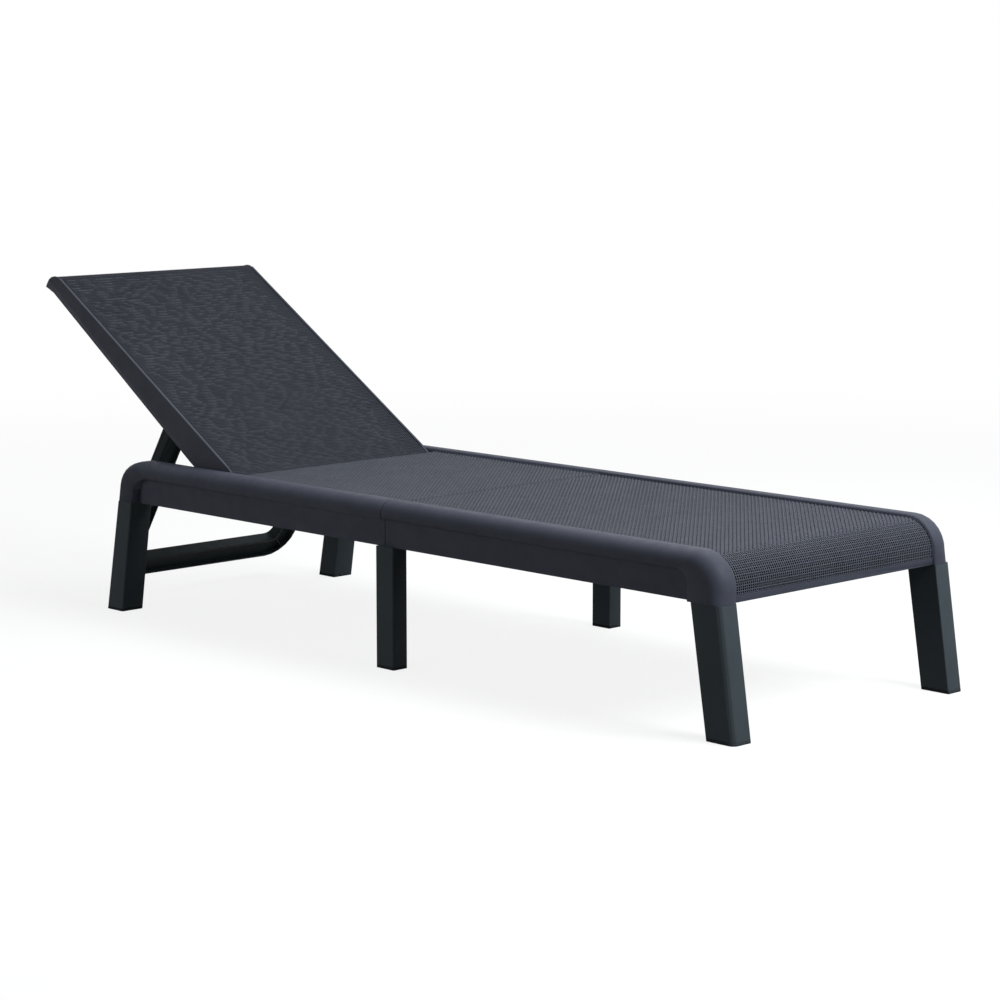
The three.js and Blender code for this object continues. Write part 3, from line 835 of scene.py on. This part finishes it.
# Bed and backrest

deck_half = RAIL_INNER - SIDE_BORDER
deck_resins = (rail_resin, deck_lattice_painted_light, deck_weave)
head_flat = flat_line(DECK_START + HINGE_BORDER, HEAD_HALF - SEAM_BORDER)
head_nubs = nubs("head_nubs", head_flat, deck_half, deck_weave)
perforated("bed_rear", "bed", head_flat, deck_half, deck_resins, head_nubs)

# The nubs of the foot half end a few steps into its bend
foot_fall = waterfall_line(HEAD_HALF + SEAM_BORDER, LEG_HEIGHT + FOOT_STRIP)
foot_nubs = nubs("foot_nubs", foot_fall[: NUB_BEND_STEPS + 2], deck_half, deck_weave)
perforated("bed_foot", "bed", foot_fall, deck_half, deck_resins, foot_nubs)

back_sheet = back_line()
back_resins = (back_resin, back_lattice_painted_shade, back_slubs_painted_shade)
back_slubs = slubs("back_slubs", back_sheet, NOSE_LENGTH, BACK_MESH_HALF, back_slubs_painted_shade)
perforated("backrest", "back", back_sheet, BACK_MESH_HALF, back_resins, back_slubs)

# Prop, legs, foot caps and tie rod as smooth copies, the smaller hardware as it is

PERFORATED = ("bed_rear", "bed_foot", "backrest")
SMOOTHED = ("prop", "leg", "cap")
finishes = {
    "prop": prop_resin_painted_shade,
    "leg": leg_resin,
    "cap": cap_rubber,
    "bracket": bracket_resin,
    "steel": pin_steel,
}
bodies = {
    node: body for body, nodes in frame["record"]["behaviour"]["bodies"].items() for node in nodes
}
for part in frame["record"]["subparts"]:
    node, slot = part["node"], part["material_slot"]
    if node in PERFORATED:
        continue
    material = finishes[slot]
    if slot in SMOOTHED or node == "tie_rod":
        piece = cad_copy(node + "_smooth", node)
        keep_flats(piece)
        finish_piece(piece, bodies[node], slot, material, node)
    else:
        carried = frame["nodes"][node]
        carried.data.materials.clear()
        carried.data.materials.append(material)


# Studio


def seen_ray(tree):
    """1 for rays by which the eye sees a surface: straight, mirrored or through glass."""
    path = tree.nodes.new("ShaderNodeLightPath")
    total = path.outputs["Is Camera Ray"]
    for name in ("Is Glossy Ray", "Is Transmission Ray"):
        larger = tree.nodes.new("ShaderNodeMath")
        larger.operation = "MAXIMUM"
        tree.links.new(total, larger.inputs[0])
        tree.links.new(path.outputs[name], larger.inputs[1])
        total = larger.outputs[0]
    return total


def studio_floor():
    """A pale floor that reads white to the eye and keeps the lounger's shadow."""
    mesh = bpy.data.meshes.new("studio_floor")
    low, high = -FLOOR_REACH, FLOOR_REACH
    corners = [(low, low, 0), (high, low, 0), (high, high, 0), (low, high, 0)]
    mesh.from_pydata(corners, [], [(0, 1, 2, 3)])
    floor = new_piece("studio_floor", mesh)
    nodes = Nodes("studio_floor")
    nodes.set(Roughness=FLOOR_ROUGHNESS, Specular_IOR_Level=FLOOR_GLOSS)

    # Pale to the eye, and dull in the light that it gives back
    seen = seen_ray(nodes.tree)
    tone = nodes.add("ShaderNodeMix", {"data_type": "RGBA"}, A=FLOOR_DULL, B=FLOOR_PALE)
    nodes.join(seen, tone.inputs["Factor"])
    nodes.join(tone.outputs["Result"], nodes.shader.inputs["Base Color"])

    # White far off, with less glow near the lounger, where its shadow falls
    distance = nodes.add("ShaderNodeVectorMath", {"operation": "LENGTH"})
    nodes.join(nodes.place, distance.inputs[0])
    fade = nodes.add("ShaderNodeMapRange", {"interpolation_type": "SMOOTHSTEP"})
    fade.inputs["From Min"].default_value, fade.inputs["From Max"].default_value = FLOOR_FADE
    fade.inputs["To Min"].default_value = FLOOR_GLOW
    fade.inputs["To Max"].default_value = 1.0
    nodes.join(distance.outputs["Value"], fade.inputs["Value"])
    share = nodes.add("ShaderNodeMath", {"operation": "MULTIPLY"})
    nodes.join(seen, share.inputs[0])
    nodes.join(fade.outputs["Result"], share.inputs[1])
    glow = nodes.add("ShaderNodeEmission")
    mix = nodes.add("ShaderNodeMixShader")
    nodes.join(share.outputs[0], mix.inputs["Fac"])
    nodes.join(nodes.shader.outputs["BSDF"], mix.inputs[1])
    nodes.join(glow.outputs["Emission"], mix.inputs[2])
    nodes.join(mix.outputs["Shader"], nodes.tree.nodes["Material Output"].inputs["Surface"])
    mesh.materials.append(nodes.material)


def studio_world():
    """White where it is seen, and a softer fill for the light that it gives."""
    world = bpy.data.worlds.new("studio_world")
    world.use_nodes = True
    bpy.context.scene.world = world
    tree = world.node_tree
    fill = tree.nodes["Background"]
    fill.inputs["Color"].default_value = FILL_COLOUR
    fill.inputs["Strength"].default_value = FILL_STRENGTH
    white = tree.nodes.new("ShaderNodeBackground")
    white.inputs["Color"].default_value = WHITE
    mix = tree.nodes.new("ShaderNodeMixShader")
    tree.links.new(seen_ray(tree), mix.inputs["Fac"])
    tree.links.new(fill.outputs["Background"], mix.inputs[1])
    tree.links.new(white.outputs["Background"], mix.inputs[2])
    tree.links.new(mix.outputs["Shader"], tree.nodes["World Output"].inputs["Surface"])


def softbox(name, place, aim, width, height, power):
    """A rectangular lamp that faces its aim."""
    lamp = bpy.data.lights.new(name, "AREA")
    lamp.shape = "RECTANGLE"
    lamp.size, lamp.size_y = width, height
    lamp.energy = power
    lamp.color = LAMP_COLOUR
    box = bpy.data.objects.new(name, lamp)
    box.location = place
    box.rotation_euler = (Vector(aim) - Vector(place)).to_track_quat("-Z", "Y").to_euler()
    bpy.context.scene.collection.objects.link(box)


studio_floor()
studio_world()
for name, setting in SOFTBOXES.items():
    softbox(name, *setting)
bpy.context.scene.view_settings.view_transform = "Standard"
